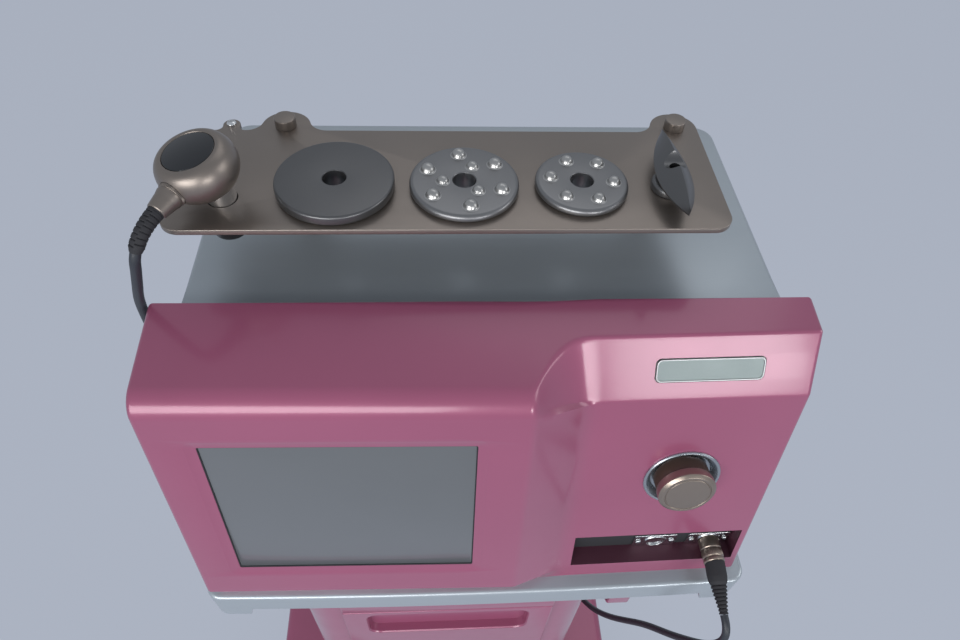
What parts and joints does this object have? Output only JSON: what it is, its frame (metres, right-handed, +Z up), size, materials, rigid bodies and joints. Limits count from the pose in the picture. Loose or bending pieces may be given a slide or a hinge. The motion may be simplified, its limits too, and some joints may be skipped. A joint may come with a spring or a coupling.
{
  "type": "facial toning machine on a wheeled column",
  "caption": "Facial toning machine: pink console with screen, knob and sockets, tool plate with handset, discs and blade, wheeled column with drawer.",
  "frame": {"origin": "on the floor under the middle of the wheeled base", "axes": "+Z up, the screen faces -Y, +X to the right as the user sees it"},
  "size_m": [0.57, 0.5, 1.1741],
  "materials": {
    "shell_pink": "satin",
    "panel_silver": "satin",
    "tool_bronze": "satin",
    "disc_gunmetal": "satin",
    "bezel_silver": "satin",
    "knob_brown": "satin",
    "knob_champagne": "satin",
    "screen_glass": "gloss",
    "display_black": "gloss",
    "black_plastic": "matte",
    "lead_black": "matte",
    "bright_steel": "gloss",
    "sheet_steel": "satin",
    "board_green": "satin",
    "wheel_grey": "matte",
    "switch_red": "gloss"
  },
  "bodies": {
    "trolley": {"base_cover": "shell_pink", "base_plate": "sheet_steel", "column_shell": "shell_pink", "column_frame": "sheet_steel", "column_cap": "panel_silver", "column_back": "shell_pink", "front_panels": "shell_pink", "slide_rails": "sheet_steel", "tray": "panel_silver", "cable_hook": "shell_pink", "base_pan": "sheet_steel", "front_shell": "shell_pink", "rear_cover": "panel_silver", "rear_panel": "panel_silver", "screen_glass": "screen_glass", "lcd_module": "black_plastic", "nameplate": "bezel_silver", "knob_bezel": "bezel_silver", "encoder": "board_green", "connector_plate": "black_plastic", "sockets": "bright_steel", "socket_screws": "bright_steel", "plug_shell": "knob_champagne", "plug_boot": "lead_black", "lead": "lead_black", "rf_board": "board_green", "control_board": "board_green", "power_supply": "sheet_steel", "fan_frame": "black_plastic", "mains_inlet": "black_plastic", "tool_plate": "tool_bronze", "plate_posts": "tool_bronze", "thumb_nuts": "tool_bronze", "plate_screw": "bright_steel", "dock_cup": "black_plastic"},
    "drawer": {"drawer_front": "shell_pink", "drawer_box": "sheet_steel"},
    "knob_push": {"encoder_plunger": "black_plastic"},
    "knob": {"knob_skirt": "knob_brown", "knob_cap": "knob_champagne"},
    "fan": {"fan_rotor": "black_plastic"},
    "switch": {"mains_switch": "switch_red"},
    "plain_disc": {"disc_plain": "disc_gunmetal"},
    "nine_disc": {"disc_nine": "disc_gunmetal"},
    "six_disc": {"disc_six": "disc_gunmetal"},
    "blade": {"blade_tool": "disc_gunmetal"},
    "handset": {"handset_body": "tool_bronze", "handset_lens": "display_black", "handset_neck": "tool_bronze", "strain_relief": "lead_black", "handset_spigot": "bright_steel"},
    "fork_1": {"caster_fork_1": "sheet_steel"},
    "wheel_1": {"caster_wheel_1": "wheel_grey"},
    "fork_2": {"caster_fork_2": "sheet_steel"},
    "wheel_2": {"caster_wheel_2": "wheel_grey"},
    "fork_3": {"caster_fork_3": "sheet_steel"},
    "wheel_3": {"caster_wheel_3": "wheel_grey"},
    "fork_4": {"caster_fork_4": "sheet_steel"},
    "wheel_4": {"caster_wheel_4": "wheel_grey"}
  },
  "joints": [
    {"name": "drawer_slide", "type": "slide", "parent": "trolley", "child": "drawer", "axis": [0, -1, 0], "range_m": [0, 0.2]},
    {"name": "knob_press", "type": "slide", "parent": "trolley", "child": "knob_push", "axis": [-0.0171, 0.9798, -0.1994], "range_m": [0, 0.0015], "stiffness_N_per_m": 3000},
    {"name": "knob_turn", "type": "hinge", "parent": "knob_push", "child": "knob", "pos_m": [0.18972, -0.12409, 0.93572], "axis": [0.0171, -0.9798, 0.1994], "continuous": true},
    {"name": "fan_spin", "type": "hinge", "parent": "trolley", "child": "fan", "pos_m": [-0.09, 0.159, 0.95], "axis": [0, 1, 0], "continuous": true},
    {"name": "switch_rock", "type": "hinge", "parent": "trolley", "child": "switch", "pos_m": [0.175, 0.169, 0.86], "axis": [1, 0, 0], "range_deg": [0, 16]},
    {"name": "plain_disc_lift", "type": "slide", "parent": "trolley", "child": "plain_disc", "axis": [0, 0, 1], "range_m": [0, 0.06]},
    {"name": "nine_disc_lift", "type": "slide", "parent": "trolley", "child": "nine_disc", "axis": [0, 0, 1], "range_m": [0, 0.06]},
    {"name": "six_disc_lift", "type": "slide", "parent": "trolley", "child": "six_disc", "axis": [0, 0, 1], "range_m": [0, 0.06]},
    {"name": "blade_lift", "type": "slide", "parent": "trolley", "child": "blade", "axis": [0, 0, 1], "range_m": [0, 0.06]},
    {"name": "handset_lift", "type": "slide", "parent": "trolley", "child": "handset", "axis": [0, 0, 1], "range_m": [0, 0.06]},
    {"name": "swivel_1", "type": "hinge", "parent": "trolley", "child": "fork_1", "pos_m": [-0.237, -0.194, 0.075], "axis": [0, 0, 1], "continuous": true},
    {"name": "roll_1", "type": "hinge", "parent": "fork_1", "child": "wheel_1", "pos_m": [-0.237, -0.174, 0.03], "axis": [1, 0, 0], "continuous": true},
    {"name": "swivel_2", "type": "hinge", "parent": "trolley", "child": "fork_2", "pos_m": [0.237, -0.194, 0.075], "axis": [0, 0, 1], "continuous": true},
    {"name": "roll_2", "type": "hinge", "parent": "fork_2", "child": "wheel_2", "pos_m": [0.237, -0.174, 0.03], "axis": [1, 0, 0], "continuous": true},
    {"name": "swivel_3", "type": "hinge", "parent": "trolley", "child": "fork_3", "pos_m": [-0.237, 0.194, 0.075], "axis": [0, 0, 1], "continuous": true},
    {"name": "roll_3", "type": "hinge", "parent": "fork_3", "child": "wheel_3", "pos_m": [-0.237, 0.214, 0.03], "axis": [1, 0, 0], "continuous": true},
    {"name": "swivel_4", "type": "hinge", "parent": "trolley", "child": "fork_4", "pos_m": [0.237, 0.194, 0.075], "axis": [0, 0, 1], "continuous": true},
    {"name": "roll_4", "type": "hinge", "parent": "fork_4", "child": "wheel_4", "pos_m": [0.237, 0.214, 0.03], "axis": [1, 0, 0], "continuous": true}
  ]
}
